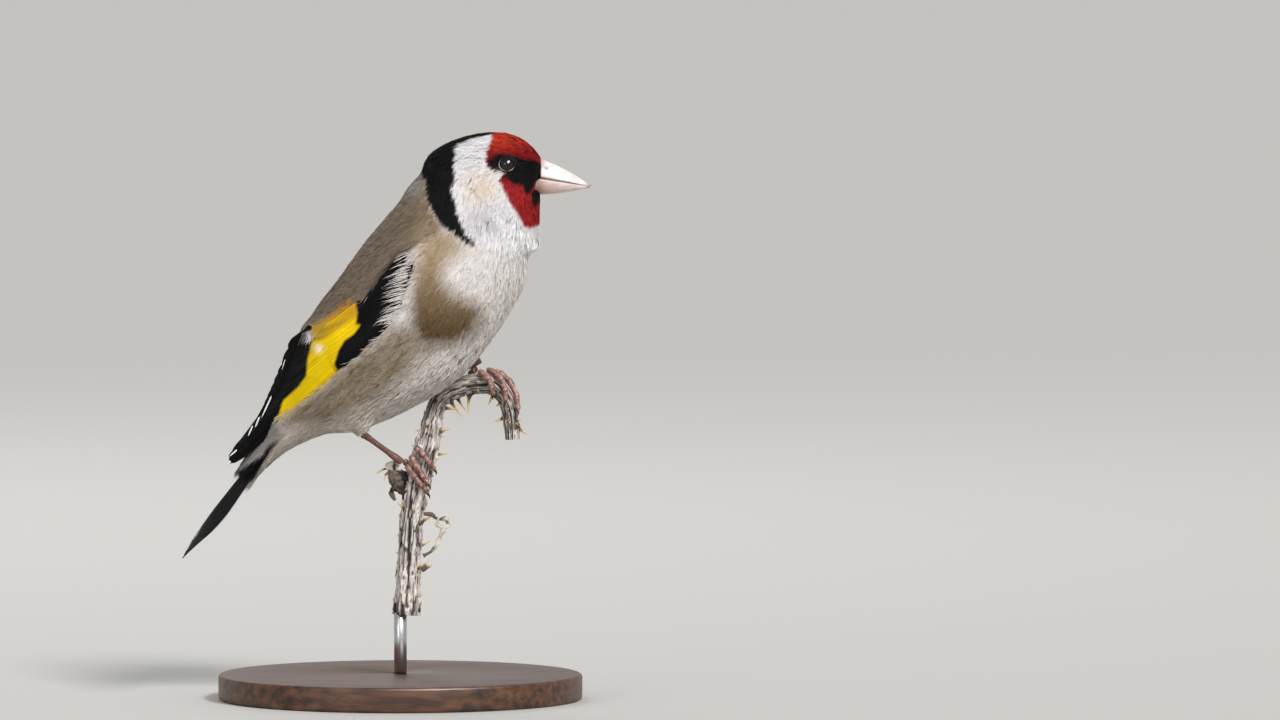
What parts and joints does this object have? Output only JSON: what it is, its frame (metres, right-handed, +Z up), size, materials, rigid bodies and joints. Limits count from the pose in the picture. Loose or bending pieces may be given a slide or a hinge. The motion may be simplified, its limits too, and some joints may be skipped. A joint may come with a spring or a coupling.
{
  "type": "goldfinch perched on a dry thistle stem",
  "caption": "Life-size small finch with a red face, black crown and yellow wing bar, gripping a bent dry thistle stem held above a round base by a rod.",
  "frame": {"origin": "centre of the display base's underside, on the surface that it stands on", "axes": "+X the way the bird faces, +Y its left side, +Z up"},
  "size_m": [0.0948, 0.086, 0.1339],
  "materials": {
    "plumage": "soft small feathers: white cheeks and belly, red face, black crown, tawny back",
    "wing_feathers": "smooth black flight feathers with a yellow bar and white tips",
    "tail_feathers": "smooth black feathers with white spots near the tips",
    "bill_horn": "ivory horn, satin, faintly pink",
    "eye": "wet, very dark brown",
    "leg_skin": "scaly pinkish-brown skin",
    "claw_horn": "dark brown horn",
    "dry_stem": "dry fibrous grey stem with straw-coloured spines",
    "base_wood": "dark oiled wood",
    "rod_steel": "satin steel"
  },
  "bodies": {
    "root": {"head": "plumage", "neck": "plumage", "breast": "plumage", "trunk": "plumage", "rump": "plumage", "bill_upper": "bill_horn", "bill_lower": "bill_horn", "eye_left": "eye", "wing_left_coverts": "wing_feathers", "wing_left_secondaries": "wing_feathers", "wing_left_primaries": "wing_feathers", "tail_left": "tail_feathers", "thigh_left": "plumage", "tarsus_left": "leg_skin", "toe_1_left": "leg_skin", "claw_1_left": "claw_horn", "toe_2_left": "leg_skin", "claw_2_left": "claw_horn", "toe_3_left": "leg_skin", "claw_3_left": "claw_horn", "toe_4_left": "leg_skin", "claw_4_left": "claw_horn", "eye_right": "eye", "wing_right_coverts": "wing_feathers", "wing_right_secondaries": "wing_feathers", "wing_right_primaries": "wing_feathers", "tail_right": "tail_feathers", "thigh_right": "plumage", "tarsus_right": "leg_skin", "toe_1_right": "leg_skin", "claw_1_right": "claw_horn", "toe_2_right": "leg_skin", "claw_2_right": "claw_horn", "toe_3_right": "leg_skin", "claw_3_right": "claw_horn", "toe_4_right": "leg_skin", "claw_4_right": "claw_horn", "perch_stem_lower": "dry_stem", "perch_stem_bend": "dry_stem", "perch_stem_end": "dry_stem", "stand_base": "base_wood", "stand_rod": "rod_steel"}
  },
  "joints": []
}
